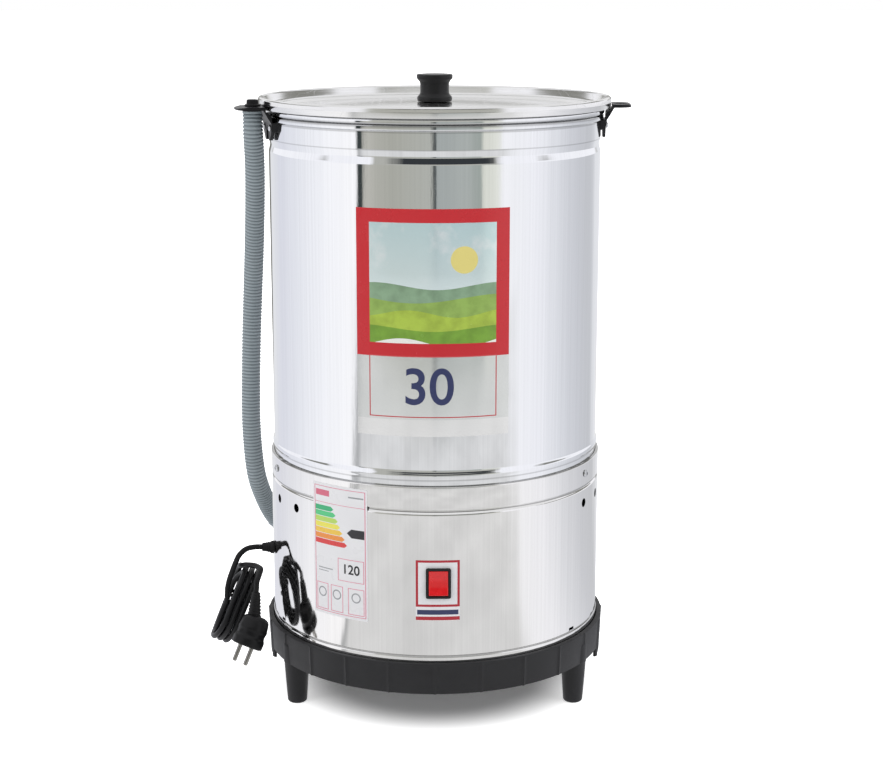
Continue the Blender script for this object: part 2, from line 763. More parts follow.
def make_housing_screw(number, azimuth):
    """A pan-head screw through the housing and the drum's lower skirt."""
    head = [
        (0.0, 0.0022),
        (0.0026, 0.0019),
        (0.0040, 0.0),
        (HOUSING_SCREW_RADIUS, 0.0),
        (HOUSING_SCREW_RADIUS, -0.0090),
        (0.0, -0.0090),
    ]
    screw = turned(f"housing_screw_{number}", head, plain_steel, SMALL_ROUND)
    screw.location = polar(HOUSING_RADIUS + GAP, azimuth, HOUSING_SCREW_Z)
    screw.rotation_euler = Vector((0, 0, 1)).rotation_difference(polar(1, azimuth)).to_euler()
    return screw


# Lid


def make_lid():
    """The pressed lid: a low crown in a recess, a ledge on the drum's rim, and a raised hollow rim."""
    recess = LEDGE_TOP - LID_RECESS
    step = DRUM_INSIDE - 0.0018
    ledge_end = LID_RADIUS - LID_RIM_WIDTH
    crest = LID_RADIUS - 0.0030
    shaft_hole = KNOB_SCREW_RADIUS + GAP
    crown = [
        (shaft_hole, LID_CENTRE_TOP),
        (step - 0.1120, LID_CENTRE_TOP - 0.0012),
        (step - 0.0520, recess + 0.0030),
        (step - 0.0030, recess),
        (step, LEDGE_TOP),
    ]
    rim = [
        (ledge_end, LEDGE_TOP),
        (crest - 0.0016, LID_RIM_TOP - 0.0012),
        (crest, LID_RIM_TOP),
        (LID_RADIUS - 0.0010, LID_RIM_TOP - 0.0008),
        (LID_RADIUS, LID_RIM_TOP - 0.0028),
        (LID_RADIUS, RIM_TOP + 0.0004),
    ]
    under_rim = [
        (LID_RADIUS - LID_SHEET, RIM_TOP + 0.0004),
        (LID_RADIUS - LID_SHEET, LID_RIM_TOP - 0.0030),
        (crest, LID_RIM_TOP - LID_SHEET),
        (ledge_end + 0.0006, LEDGE_UNDER),
    ]
    under_crown = [(r - 0.0005 if r > step - 0.02 else r, z - LID_SHEET) for r, z in reversed(crown)]
    return turned("lid", crown + rim + under_rim + under_crown, steel, BIG_ROUND)


def make_knob():
    """The spool-shaped knob with a blind hole for its screw."""
    base = KNOB_BOTTOM
    top = base + KNOB_HEIGHT
    profile = [
        (0.0, top),
        (KNOB_RADIUS - 0.0012, top),
        (KNOB_RADIUS, top - 0.0010),
        (KNOB_RADIUS, top - 0.0045),
        (KNOB_RADIUS - 0.0016, top - 0.0064),
        (KNOB_WAIST + 0.0004, top - 0.0100),
        (KNOB_WAIST, (base + top) / 2),
        (KNOB_WAIST + 0.0006, base + 0.0085),
        (KNOB_RADIUS - 0.0016, base + 0.0042),
        (KNOB_RADIUS - 0.0006, base + 0.0026),
        (KNOB_RADIUS - 0.0006, base),
        (KNOB_SCREW_RADIUS + GAP, base),
        (KNOB_SCREW_RADIUS + GAP, base + 0.0150),
        (0.0, base + 0.0150),
    ]
    return turned("lid_knob", profile, plastic, MID_ROUND)


def make_knob_screw():
    under = LID_CENTRE_TOP - LID_SHEET - GAP
    profile = [
        (0.0, KNOB_BOTTOM + 0.0147),
        (KNOB_SCREW_RADIUS, KNOB_BOTTOM + 0.0147),
        (KNOB_SCREW_RADIUS, under),
        (0.0055, under),
        (0.0052, under - 0.0018),
        (0.0030, under - 0.0028),
        (0.0, under - 0.0030),
    ]
    return turned("knob_screw", profile, plain_steel, SMALL_ROUND)


# Handles


def handle_reach(azimuth):
    """How far out a handle goes, so that both tips lie HANDLE_SPAN apart along X."""
    turn = radians(abs(azimuth))
    corner = HANDLE_CORNER
    side = (HANDLE_HALF - corner) * abs(cos(turn))
    return corner + (HANDLE_SPAN / 2 - corner - side) / sin(turn)


def handle_profile(reach):
    """The handle from the side: tab, pad under the drum's band, sloping neck and arm."""
    pad_top = RIM_TOP - RIM_BEAD_HEIGHT - BAND_HEIGHT - GAP
    tab_low = pad_top - TAB_LENGTH
    face = DRUM_RADIUS + 0.0014
    outer = face + HANDLE_THICKNESS
    bead = DRUM_RADIUS + RIM_PROUD + 0.0006
    arm_inner = LID_RADIUS + 0.0006
    flat_end = HOSE_SEAT_RADIUS + LOOP_RADIUS + 0.35 * HANDLE_TIP_WALL
    return [
        (DRUM_RADIUS - 0.0035, pad_top - 0.0100),
        (DRUM_RADIUS - 0.0035, pad_top),
        (bead, pad_top + 0.0004),
        (bead + 0.0004, RIM_TOP - RIM_BEAD_HEIGHT + 0.0010),
        (arm_inner, RIM_TOP - 0.0003),
        (arm_inner, ARM_TOP),
        (flat_end, ARM_TOP),
        (reach, ARM_TOP - HANDLE_TIP_DROOP),
        (reach, ARM_LOW),
        (arm_inner + 0.0020, ARM_LOW),
        (outer + 0.0040, pad_top + 0.0055),
        (outer, pad_top - 0.0010),
        (outer - 0.0002, tab_low),
        (face, tab_low),
        (face, pad_top - 0.0100),
    ]


def handle_plan(reach):
    """The handle from above: straight sides and a rounded tip."""
    low = DRUM_RADIUS - 0.010
    half, corner = HANDLE_HALF, HANDLE_CORNER
    tip = reach - corner
    return [
        (low, -half),
        *arc((tip, corner - half), corner, -90, 0, 5),
        *arc((tip, half - corner), corner, 0, 90, 5),
        (low, half),
    ]


def handle_front():
    """The handle from outside: full width above, and a tab that tapers to two prongs below."""
    pad_top = RIM_TOP - RIM_BEAD_HEIGHT - BAND_HEIGHT - GAP
    low = pad_top - TAB_LENGTH - 0.001
    top = RIM_TOP + 0.010
    half, slot = HANDLE_HALF - 0.003, TAB_SLOT_WIDTH / 2
    corner = 0.003
    left = [
        (-slot - 0.0045 - corner, low + corner),
        (-slot - 0.0045, low),
        (-slot, low),
    ]
    arch = arc((0.0, pad_top - 0.0080), slot, 180, 0, 6)
    right = [(-x, z) for x, z in reversed(left)]
    return [
        *left,
        *arch,
        *right,
        (half, pad_top - 0.0085),
        (half + 0.004, pad_top + 0.004),
        (half + 0.004, top),
        (-half - 0.004, top),
        (-half - 0.004, pad_top + 0.004),
        (-half, pad_top - 0.0085),
    ]


def make_handle(name, azimuth):
    """A handle as the shared volume of its side, top and front outlines, fitted to the drum's wall."""
    reach = handle_reach(azimuth)
    side = outline_solid(name, [handle_profile(reach)], -HANDLE_HALF, HANDLE_HALF, plastic)
    upright = Matrix.Rotation(radians(90), 4, "X")
    side.data.transform(upright @ side.matrix_world)
    side.matrix_world = Matrix()
    low, high = RIM_TOP - 0.080, RIM_TOP + 0.070
    plan = outline_solid(f"{name} plan", [handle_plan(reach)], low, high, None, cutters)
    boolean(side, as_cutter(plan), "INTERSECT")
    near, far = DRUM_RADIUS - 0.015, HANDLE_SPAN / 2 + 0.030
    front = outline_solid(f"{name} front", [handle_front()], near, far, None, cutters)
    front.data.transform(front_to_world() @ front.matrix_world)
    front.matrix_world = Matrix()
    boolean(side, as_cutter(front), "INTERSECT")
    for part, radius, low, high in (
        ("loop", LOOP_RADIUS, ARM_LOW - 0.001, ARM_LOW + 0.012),
        ("hose pocket", around(HOSE_RADIUS, MID_ROUND), ARM_LOW - 0.030, ARM_LOW),
    ):
        tool = rod(
            f"{name} {part}",
            radius,
            (HOSE_SEAT_RADIUS, 0, low),
            (HOSE_SEAT_RADIUS, 0, high),
            None,
            MID_ROUND,
            collection=cutters,
        )
        boolean(side, as_cutter(tool))
    wall = rod(
        f"{name} wall",
        DRUM_RADIUS + GAP,
        (0, 0, RIM_TOP - 0.060),
        (0, 0, RIM_TOP + 0.020),
        None,
        BIG_ROUND,
        collection=cutters,
    )
    wall.rotation_euler.z = -radial_turn(azimuth)
    boolean(side, as_cutter(wall))
    for sign in (-1, 1):
        y = sign * HANDLE_SCREW_SPACING / 2
        screw = rod(
            f"{name} screw hole {sign}",
            around(HANDLE_SCREW_RADIUS),
            (DRUM_RADIUS - 0.020, y, handle_screw_z()),
            (DRUM_RADIUS + 0.020, y, handle_screw_z()),
            None,
            collection=cutters,
        )
        boolean(side, as_cutter(screw))
    turn_with_tools(side, radial_turn(azimuth))
    return side


def front_to_world():
    """Takes an outline drawn across and up, with its thickness along local Z, to face outwards."""
    return Matrix(((0, 0, 1, 0), (1, 0, 0, 0), (0, 1, 0, 0), (0, 0, 0, 1)))


def turn_with_tools(made, angle):
    """Turns an object about the drum's axis together with the tools that shape it."""
    turn = Matrix.Rotation(angle, 4, "Z")
    bpy.context.view_layer.update()
    for other in [made, *(m.object for m in made.modifiers if m.type == "BOOLEAN")]:
        other.matrix_world = turn @ other.matrix_world


def handle_screw_z():
    return RIM_TOP - RIM_BEAD_HEIGHT - BAND_HEIGHT - GAP - 0.0050


def handle_screw_seats():
    return [(a, s) for a in (LEFT_HANDLE_AZIMUTH, RIGHT_HANDLE_AZIMUTH) for s in (-1, 1)]


def handle_screw_rod(name, azimuth, side, radius, low, high):
    """A rod square to the handle's pad, at one of its two screws."""
    turn = Matrix.Rotation(radial_turn(azimuth), 3, "Z")
    y = side * HANDLE_SCREW_SPACING / 2
    start = turn @ Vector((DRUM_RADIUS + low, y, handle_screw_z()))
    end = turn @ Vector((DRUM_RADIUS + high, y, handle_screw_z()))
    return rod(name, radius, start, end, None, collection=cutters)


def make_handle_screw(number, azimuth, side):
    """A button-head screw through the handle's pad and the drum's wall."""
    face = DRUM_RADIUS + 0.0014 + HANDLE_THICKNESS + GAP
    head = [
        (0.0, 0.0020),
        (0.0020, 0.0018),
        (0.0034, 0.0),
        (HANDLE_SCREW_RADIUS, 0.0),
        (HANDLE_SCREW_RADIUS, -0.0100),
        (0.0, -0.0100),
    ]
    screw = turned(f"handle_screw_{number}", head, plain_steel, SMALL_ROUND)
    turn = Matrix.Rotation(radial_turn(azimuth), 3, "Z")
    screw.location = turn @ Vector((face, side * HANDLE_SCREW_SPACING / 2, handle_screw_z()))
    screw.rotation_euler = Vector((0, 0, 1)).rotation_difference(polar(1, azimuth)).to_euler()
    return screw


# Drain


def hose_route():
    """The drain hose from the outlet elbow up to the left handle's loop."""
    return [
        elbow_corner() + elbow_direction() * ELBOW_LEG,
        elbow_corner() + elbow_direction() * (ELBOW_LEG + 0.0100),
        Vector((-0.1832, 0.0580, 0.1660)),
        Vector((-0.1902, 0.0380, 0.1890)),
        Vector((-0.1966, 0.0190, 0.2180)),
        Vector((-0.1996, 0.0110, 0.2450)),
        Vector((-0.2013, 0.0070, 0.2830)),
        Vector((-0.2009, 0.0050, 0.3190)),
        Vector((-0.1988, 0.0020, 0.3760)),
        Vector((-0.1955, -0.0040, 0.4320)),
        Vector((-0.1915, -0.0170, 0.4860)),
        Vector((-0.1879, -0.0345, 0.5390)),
        Vector((-0.1862, -0.0475, 0.5780)),
        polar(HOSE_SEAT_RADIUS, LEFT_HANDLE_AZIMUTH, HOSE_TOP - 0.0200),
        polar(HOSE_SEAT_RADIUS, LEFT_HANDLE_AZIMUTH, HOSE_TOP),
    ]


def elbow_corner():
    return polar(ELBOW_CIRCLE, OUTLET_AZIMUTH, OUTLET_Z)


def elbow_direction():
    """The way the elbow's outer leg points, up and forward beside the housing."""
    return Vector((-0.36, -0.74, 0.57)).normalized()


def make_elbow():
    """The moulded outlet elbow: a leg through the housing, a ball at the corner and the hose's leg."""
    corner = elbow_corner()
    start = polar(ELBOW_INNER, OUTLET_AZIMUTH, OUTLET_Z)
    elbow = rod("outlet_elbow", ELBOW_RADIUS, start, corner, rubber, MID_ROUND)
    shape = bmesh.new()
    bmesh.ops.create_uvsphere(shape, u_segments=12, v_segments=8, radius=ELBOW_BALL)
    mesh = bpy.data.meshes.new("elbow ball")
    shape.to_mesh(mesh)
    shape.free()
    ball = new_object("elbow ball", mesh, None, cutters)
    ball.location = corner
    ball.rotation_euler = (0.3, 0.2, 0.1)
    boolean(elbow, as_cutter(ball), "UNION")
    end = corner + elbow_direction() * (ELBOW_LEG - GAP)
    leg = rod("elbow leg", ELBOW_RADIUS, corner, end, None, MID_ROUND, collection=cutters)
    boolean(elbow, as_cutter(leg), "UNION")
    return elbow


def make_drain():
    """Drain fitting in the drum's floor, its nut, the inner pipe, the elbow, the hose and its cap."""
    flange_top = FLOOR_Z + GAP + 0.0018
    fitting = [
        (DRAIN_RADIUS - 0.0020, flange_top),
        (0.0165, flange_top),
        (0.0175, FLOOR_Z + GAP),
        (DRAIN_RADIUS, FLOOR_Z + GAP),
        (DRAIN_RADIUS, FLOOR_Z - 0.0260),
        (DRAIN_RADIUS - 0.0020, FLOOR_Z - 0.0260),
    ]
    outlet = turned("drain_outlet", fitting, plastic, MID_ROUND)
    outlet.location = polar(DRAIN_CIRCLE, DRAIN_AZIMUTH)
    under = FLOOR_Z - FLOOR_SHEET - GAP
    hole = circle(around(DRAIN_RADIUS, MID_ROUND), MID_ROUND)
    nut = outline_solid("drain_outlet_nut", [hexagon(0.0175), hole], under - 0.006, under, plastic)
    nut.location += polar(DRAIN_CIRCLE, DRAIN_AZIMUTH)
    top = polar(DRAIN_CIRCLE, DRAIN_AZIMUTH, FLOOR_Z - 0.0260 - GAP)
    end = polar(ELBOW_INNER - GAP, OUTLET_AZIMUTH, OUTLET_Z)
    inward = polar(-1, OUTLET_AZIMUTH)
    pipe = [
        top,
        top + Vector((0, 0, -0.010)),
        top + Vector((0, 0, -0.022)),
        top.lerp(end, 0.42) + Vector((0, 0, -0.016)) + inward * 0.006,
        end + inward * 0.022 + Vector((0, 0, 0.006)),
        end + inward * 0.010,
        end,
    ]
    tube("drain_pipe", smooth_route(pipe, 0.009), 0.0098, hose_plastic, 2)
    make_elbow()
    route = smooth_route(hose_route(), HOSE_STEP)
    tube("drain_hose", route, HOSE_RADIUS, hose_plastic, 2)
    make_clamp(route[0], (route[1] - route[0]).normalized())
    cap = [
        (0.0, ARM_TOP + 0.0070),
        (0.0052, ARM_TOP + 0.0070),
        (0.0060, ARM_TOP + 0.0060),
        (0.0060, ARM_TOP + 0.0024),
        (0.0082, ARM_TOP + 0.0018),
        (0.0082, ARM_TOP + GAP),
        (STOPPER_RADIUS, ARM_TOP + GAP),
        (STOPPER_RADIUS, ARM_LOW - GAP),
        (HOSE_RADIUS, ARM_LOW - GAP),
        (HOSE_RADIUS, HOSE_TOP + GAP),
        (0.0, HOSE_TOP + GAP),
    ]
    stopper = turned("hose_end_cap", cap, rubber, MID_ROUND)
    stopper.location = polar(HOSE_SEAT_RADIUS, LEFT_HANDLE_AZIMUTH)


def make_clamp(place, along):
    """A worm-drive band round the hose where it fits on the elbow."""
    inner, half = around(HOSE_RADIUS, MID_ROUND), 0.0045
    outer = inner + 0.0012
    band = [(inner, half), (outer, half), (outer, -half), (inner, -half)]
    clamp = turned("hose_clamp", band, plain_steel, MID_ROUND)
    outward = Vector((place.x, place.y, 0)).normalized()
    across = (outward - along * outward.dot(along)).normalized()
    turn = Matrix((across, along.cross(across), along)).transposed()
    clamp.location = place + along * 0.007
    clamp.rotation_euler = turn.to_euler()
    worm = block(
        "clamp worm",
        (inner + 0.0006, -0.005, -half + 0.0005),
        (outer + 0.0035, 0.005, half - 0.0005),
        None,
        collection=cutters,
    )
    worm.location = clamp.location
    worm.rotation_euler = clamp.rotation_euler
    boolean(clamp, as_cutter(worm), "UNION")


# Drive


def bearing_screw_places():
    return [(p.x, p.y) for p in (polar(BEARING_SCREW_CIRCLE, a) for a in (7, 127, 247))]


def motor_screw_places():
    centre = polar(MOTOR_CIRCLE, MOTOR_AZIMUTH)
    return [
        ((centre + polar(MOTOR_SCREW_CIRCLE, a)).x, (centre + polar(MOTOR_SCREW_CIRCLE, a)).y)
        for a in (30, 150, 270)
    ]


def make_bearings():
    """The flanged bearing housing under the drum's floor, with two bearings and a lip seal."""
    bottom = BEARING_HOUSING_BOTTOM
    upper = UPPER_BEARING_TOP - BEARING_HEIGHT
    lower = bottom + 0.0005 + BEARING_HEIGHT
    flange_top = HUB_UNDER - GAP
    profile = [
        (BEARING_BORE, SEAL_TOP),
        (NECK_OF_BEARING, SEAL_TOP),
        (NECK_OF_BEARING, flange_top),
        (HUB_RADIUS - 0.0025, flange_top),
        (HUB_RADIUS - 0.0025, flange_top - BEARING_FLANGE),
        (BEARING_HOUSING_RADIUS, flange_top - BEARING_FLANGE - 0.0020),
        (BEARING_HOUSING_RADIUS, bottom),
        (BEARING_BORE, bottom),
        (BEARING_BORE, lower + GAP),
        (0.0150, lower + GAP),
        (0.0150, upper - GAP),
        (BEARING_BORE, upper - GAP),
    ]
    housing = turned("bearing_housing", profile, cast_metal)
    for i, place in enumerate(bearing_screw_places()):
        hole = rod(
            f"flange hole {i + 1}",
            around(BEARING_SCREW_RADIUS),
            (*place, flange_top - 0.012),
            (*place, flange_top + 0.004),
            None,
            collection=cutters,
        )
        boolean(housing, as_cutter(hole))
        head = [
            (0.0, HUB_TOP + GAP + 0.0028),
            (0.0030, HUB_TOP + GAP + 0.0024),
            (0.0044, HUB_TOP + GAP),
            (BEARING_SCREW_RADIUS, HUB_TOP + GAP),
            (BEARING_SCREW_RADIUS, flange_top - BEARING_FLANGE - 0.0050),
            (0.0, flange_top - BEARING_FLANGE - 0.0050),
        ]
        screw = turned(f"bearing_screw_{i + 1}", head, plain_steel, SMALL_ROUND)
        screw.location = (*place, 0)
    for name, low in (("upper_bearing", upper), ("lower_bearing", bottom + 0.0005)):
        inner = SHAFT_RADIUS + GAP
        ring = [
            (inner, low + BEARING_HEIGHT),
            (BEARING_RADIUS, low + BEARING_HEIGHT),
            (BEARING_RADIUS, low),
            (inner, low),
        ]
        turned(name, ring, plain_steel)
    low = SEAL_TOP - SEAL_HEIGHT
    seal = [
        (SHAFT_RADIUS + 0.0012, SEAL_TOP),
        (BEARING_RADIUS, SEAL_TOP),
        (BEARING_RADIUS, low),
        (SHAFT_RADIUS + 0.0040, low),
        (SHAFT_RADIUS + GAP, low + 0.0035),
    ]
    turned("shaft_seal", seal, rubber)


def make_spindle():
    """The impeller shaft, its pulley and the impeller with curved vanes, on the drum's axis."""
    shaft = [
        (0.0, IMPELLER_HUB_TOP + 0.010),
        (SHAFT_END_RADIUS - 0.0006, IMPELLER_HUB_TOP + 0.010),
        (SHAFT_END_RADIUS, IMPELLER_HUB_TOP + 0.009),
        (SHAFT_END_RADIUS, IMPELLER_BOTTOM - GAP),
        (SHAFT_RADIUS, IMPELLER_BOTTOM - GAP),
        (SHAFT_RADIUS, PULLEY_HUB_TOP + GAP),
        (SHAFT_END_RADIUS, PULLEY_HUB_TOP + GAP),
        (SHAFT_END_RADIUS, PULLEY_HUB_BOTTOM - 0.009),
        (0.0, PULLEY_HUB_BOTTOM - 0.009),
    ]
    turned("impeller_shaft", shaft, plain_steel)
    make_impeller()
    hole = circle(around(SHAFT_END_RADIUS, MID_ROUND), MID_ROUND)
    bore = around(SHAFT_END_RADIUS)
    cap = [
        (0.0, IMPELLER_HUB_TOP + 0.0130),
        (0.0050, IMPELLER_HUB_TOP + 0.0120),
        (0.0080, IMPELLER_HUB_TOP + 0.0070),
        (0.0092, IMPELLER_HUB_TOP + 0.0060),
        (0.0092, IMPELLER_HUB_TOP + GAP),
        (bore, IMPELLER_HUB_TOP + GAP),
        (bore, IMPELLER_HUB_TOP + 0.0100 + GAP),
        (0.0, IMPELLER_HUB_TOP + 0.0100 + GAP),
    ]
    turned("impeller_nut", cap, plain_steel, SMALL_ROUND)
    make_pulley("drive_pulley", PULLEY_RADIUS, SHAFT_END_RADIUS, 0.017, (0, 0), 4)
    low = PULLEY_HUB_BOTTOM - GAP - 0.006
    outline_solid("pulley_nut", [hexagon(0.0095), hole], low, PULLEY_HUB_BOTTOM - GAP, plain_steel)


def make_impeller():
    """A dished disc with a hub and curved vanes that rise from the hub to the rim."""
    profile = [
        (SHAFT_END_RADIUS + GAP, IMPELLER_HUB_TOP),
        (0.0120, IMPELLER_HUB_TOP),
        (0.0150, IMPELLER_TOP + 0.002),
        (0.0220, IMPELLER_TOP),
        (IMPELLER_RADIUS - 0.0010, IMPELLER_TOP),
        (IMPELLER_RADIUS, IMPELLER_TOP - 0.0010),
        (IMPELLER_RADIUS, IMPELLER_BOTTOM),
        (SHAFT_END_RADIUS + GAP, IMPELLER_BOTTOM),
    ]
    impeller = turned("impeller", profile, steel, PULLEY_ROUND)
    for i in range(VANE_COUNT):
        vane = outline_solid(
            f"vane {i + 1}", [vane_outline()], IMPELLER_TOP - 0.001, IMPELLER_TOP + VANE_HEIGHT, None, cutters
        )
        vane.rotation_euler.z = tau * i / VANE_COUNT
        boolean(impeller, as_cutter(vane), "UNION")
    return impeller


def vane_outline():
    """A vane from above: a strip of even thickness along an arc from the hub to near the rim."""
    bend = 0.070
    start, end = 0.0100, IMPELLER_RADIUS - 0.004
    half_turn = asin((end - start) / 2 / bend)
    centre = ((start + end) / 2, -bend * cos(half_turn))
    middle = 90
    spread = half_turn * 180 / pi
    outer = arc(centre, bend + VANE_THICKNESS / 2, middle + spread, middle - spread, 8)
    inner = arc(centre, bend - VANE_THICKNESS / 2, middle - spread, middle + spread, 8)
    return outer + inner


def make_pulley(name, radius, bore, hub, place, holes=0):
    """A V-belt pulley with a groove, a web and a hub."""
    z, half = PULLEY_Z, PULLEY_RIM / 2
    floor = radius - GROOVE_FLOOR
    slot = BELT_HEIGHT / 2 + 0.0004
    web = 0.003
    bore += GAP
    profile = [
        (bore, PULLEY_HUB_TOP),
        (hub, PULLEY_HUB_TOP),
    ]
    if floor - 0.004 > hub:
        profile += [(hub, z + web), (floor - 0.004, z + web), (floor - 0.004, z + half)]
    else:
        profile += [(hub, z + half)]
    profile += [
        (radius, z + half),
        (radius, z + slot + 0.0014),
        (floor, z + slot),
        (floor, z - slot),
        (radius, z - slot - 0.0014),
        (radius, z - half),
    ]
    if floor - 0.004 > hub:
        profile += [(floor - 0.004, z - half), (floor - 0.004, z - web), (hub, z - web)]
    else:
        profile += [(hub, z - half)]
    profile += [(hub, PULLEY_HUB_BOTTOM), (bore, PULLEY_HUB_BOTTOM)]
    sides = PULLEY_ROUND if radius > 0.05 else MID_ROUND
    pulley = turned(name, profile, cast_metal, sides)
    pulley.location = (*place, 0)
    for i in range(holes):
        middle = polar((hub + floor) / 2, 360 * i / holes + 4)
        hole = rod(
            f"{name} hole {i + 1}",
            (floor - hub) / 4,
            (middle.x, middle.y, z - 2 * web),
            (middle.x, middle.y, z + 2 * web),
            None,
            MID_ROUND,
            collection=cutters,
        )
        boolean(pulley, as_cutter(hole))
    return pulley


def make_belt():
    """The belt round both pulleys: two arcs joined by their outer tangents."""
    along = radians(MOTOR_AZIMUTH - 90)
    loops = []
    for lift in (0.0005 + BELT_THICKNESS, 0.0005):
        big = PULLEY_RADIUS - GROOVE_FLOOR + lift
        small = MOTOR_PULLEY_RADIUS - GROOVE_FLOOR + lift
        lean = acos((big - small) / MOTOR_CIRCLE) * 180 / pi
        loop = arc((0, 0), big, lean, 360 - lean, 24)
        loop += arc((MOTOR_CIRCLE, 0), small, -lean, lean, 8)
        turned_loop = []
        for x, y in loop:
            turned_loop.append((x * cos(along) - y * sin(along), x * sin(along) + y * cos(along)))
        loops.append(turned_loop)
    low, high = PULLEY_Z - BELT_HEIGHT / 2, PULLEY_Z + BELT_HEIGHT / 2
    return outline_solid("drive_belt", loops, low, high, rubber)


def make_motor():
    """The motor on its plate, beside the spindle, with its shaft up under the small pulley."""
    centre = polar(MOTOR_CIRCLE, MOTOR_AZIMUTH)
    place = (centre.x, centre.y)
    bell = MOTOR_TOP - 0.018
    bore = MOTOR_SHAFT_RADIUS + GAP
    blind = MOTOR_BOTTOM + 0.012
    body = [
        (0.0, blind),
        (bore, blind),
        (bore, bell - GAP),
        (MOTOR_RADIUS, bell - GAP),
        (MOTOR_RADIUS, MOTOR_BOTTOM + 0.010),
        (MOTOR_RADIUS - 0.010, MOTOR_BOTTOM),
        (0.0, MOTOR_BOTTOM),
    ]
    motor = turned("motor_body", body, cast_metal)
    motor.location = (*place, 0)
    cover = [
        (bore, MOTOR_TOP),
        (0.014, MOTOR_TOP),
        (0.016, MOTOR_TOP - 0.006),
        (MOTOR_RADIUS - 0.012, MOTOR_TOP - 0.008),
        (MOTOR_RADIUS, bell + 0.004),
        (MOTOR_RADIUS, bell),
        (bore, bell),
    ]
    turned("motor_end_bell", cover, cast_metal).location = (*place, 0)
    top = PULLEY_HUB_TOP + 0.002
    rod("motor_shaft", MOTOR_SHAFT_RADIUS, (*place, blind + GAP), (*place, top), plain_steel, MID_ROUND)
    make_pulley("motor_pulley", MOTOR_PULLEY_RADIUS, MOTOR_SHAFT_RADIUS, 0.012, place)
    hole = around(MOTOR_SCREW_RADIUS)
    holes = [circle(hole, SMALL_ROUND, spot) for spot in motor_screw_places()]
    plate = circle(MOTOR_PLATE_RADIUS, MID_ROUND, place)
    low, high = MOTOR_PLATE_Z, MOTOR_PLATE_Z + MOTOR_PLATE
    outline_solid("motor_plate", [plate, *holes], low, high, plain_steel)
    for i, spot in enumerate(motor_screw_places()):
        head = [
            (0.0, high + GAP + 0.0030),
            (0.0045, high + GAP + 0.0030),
            (0.0045, high + GAP),
            (MOTOR_SCREW_RADIUS, high + GAP),
            (MOTOR_SCREW_RADIUS, TRAY_FLOOR_TOP + 0.0010),
            (0.0, TRAY_FLOOR_TOP + 0.0010),
        ]
        screw = turned(f"motor_screw_{i + 1}", head, plain_steel, SMALL_ROUND)
        screw.location = (*spot, 0)


def make_capacitor():
    """The motor's run capacitor standing on the tray, held by a clip ring with a foot."""
    low = TRAY_FLOOR_TOP + GAP
    high = low + CAPACITOR_LENGTH
    profile = [
        (0.0, high),
        (CAPACITOR_RADIUS - 0.0015, high),
        (CAPACITOR_RADIUS, high - 0.0015),
        (CAPACITOR_RADIUS, low),
        (0.0, low),
    ]
    place = polar(CAPACITOR_CIRCLE, CAPACITOR_AZIMUTH)
    turned("capacitor", profile, pale_plastic).location = place
    inner = CAPACITOR_RADIUS + GAP
    ring = [
        (inner, low + 0.024),
        (inner + 0.0015, low + 0.024),
        (inner + 0.0015, low + 0.0015),
        (inner + 0.0080, low + 0.0015),
        (inner + 0.0080, low),
        (inner, low),
    ]
    turned("capacitor_clip", ring, plain_steel).location = place


# Switch


def to_switch():
    """From the switch's own frame, X across, Y up and Z outwards, to its place on the housing."""
    place = polar(HOUSING_RADIUS + GAP, SWITCH_AZIMUTH, SWITCH_Z)
    turn = Matrix.Rotation(radians(SWITCH_AZIMUTH), 4, "Z") @ Matrix.Rotation(radians(90), 4, "X")
    return Matrix.Translation(place) @ turn


def make_switch():
    """The rocker switch: a bezel with a box behind it, and a rocker on a cross pin."""
    frame = to_switch()
    bezel = rounded_rectangle(BEZEL_WIDTH, BEZEL_HEIGHT, 0.002, 3)
    body = outline_solid("switch_body", [bezel], 0.0, BEZEL_THICKNESS, plastic)
    box_width = ROCKER_WIDTH + 0.0028
    box_height = ROCKER_HEIGHT + 0.0038
    box = block(
        "switch box",
        (-box_width / 2, -box_height / 2, -SWITCH_DEPTH),
        (box_width / 2, box_height / 2, 0.0010),
        None,
        collection=cutters,
    )
    well = block(
        "switch well",
        (-ROCKER_WIDTH / 2 - 0.0003, -ROCKER_HEIGHT / 2 - 0.0012, -0.0125),
        (ROCKER_WIDTH / 2 + 0.0003, ROCKER_HEIGHT / 2 + 0.0012, 0.010),
        None,
        collection=cutters,
    )
    blades = []
    for i, y in enumerate((-0.008, 0.0, 0.008)):
        low = (-0.003, y - 0.0004, -SWITCH_DEPTH - 0.008)
        high = (0.003, y + 0.0004, -SWITCH_DEPTH + 0.002)
        blades.append(block(f"switch blade {i + 1}", low, high, None, collection=cutters))
    for tool, operation in ((box, "UNION"), *((b, "UNION") for b in blades), (well, "DIFFERENCE")):
        boolean(body, as_cutter(tool), operation)
    for made in (body, box, well, *blades):
        made.matrix_world = frame @ made.matrix_basis
    make_rocker(frame)


def rocker_outline():
    """The rocker from the side: two dished faces that meet over its pin, and a round back."""
    half = ROCKER_HEIGHT / 2
    front = [(-half, 0.0055), (-half * 0.5, 0.0042), (0.0, 0.0034), (half * 0.5, 0.0042), (half, 0.0055)]
    back = arc((0.0, 0.0), 0.0085, 0, -180, 8)
    return [*front, (half, 0.0005), *back, (-half, 0.0005)]


def make_rocker(frame):
    """The rocker, tilted with its lower end in, and with its origin on its pin."""
    half = ROCKER_WIDTH / 2
    rocker = outline_solid("switch_rocker", [rocker_outline()], -half, half, red)
    across = Matrix(((0, 0, 1, 0), (1, 0, 0, 0), (0, 1, 0, 0), (0, 0, 0, 1)))
    tilt = Matrix.Rotation(radians(-ROCKER_TILT), 4, "X")
    rocker.matrix_world = frame @ Matrix.Translation((0, 0, -0.0010)) @ tilt @ across
    return rocker


# Mains lead


def gland_start():
    return polar(HOUSING_RADIUS + GAP, GLAND_AZIMUTH, GLAND_Z)


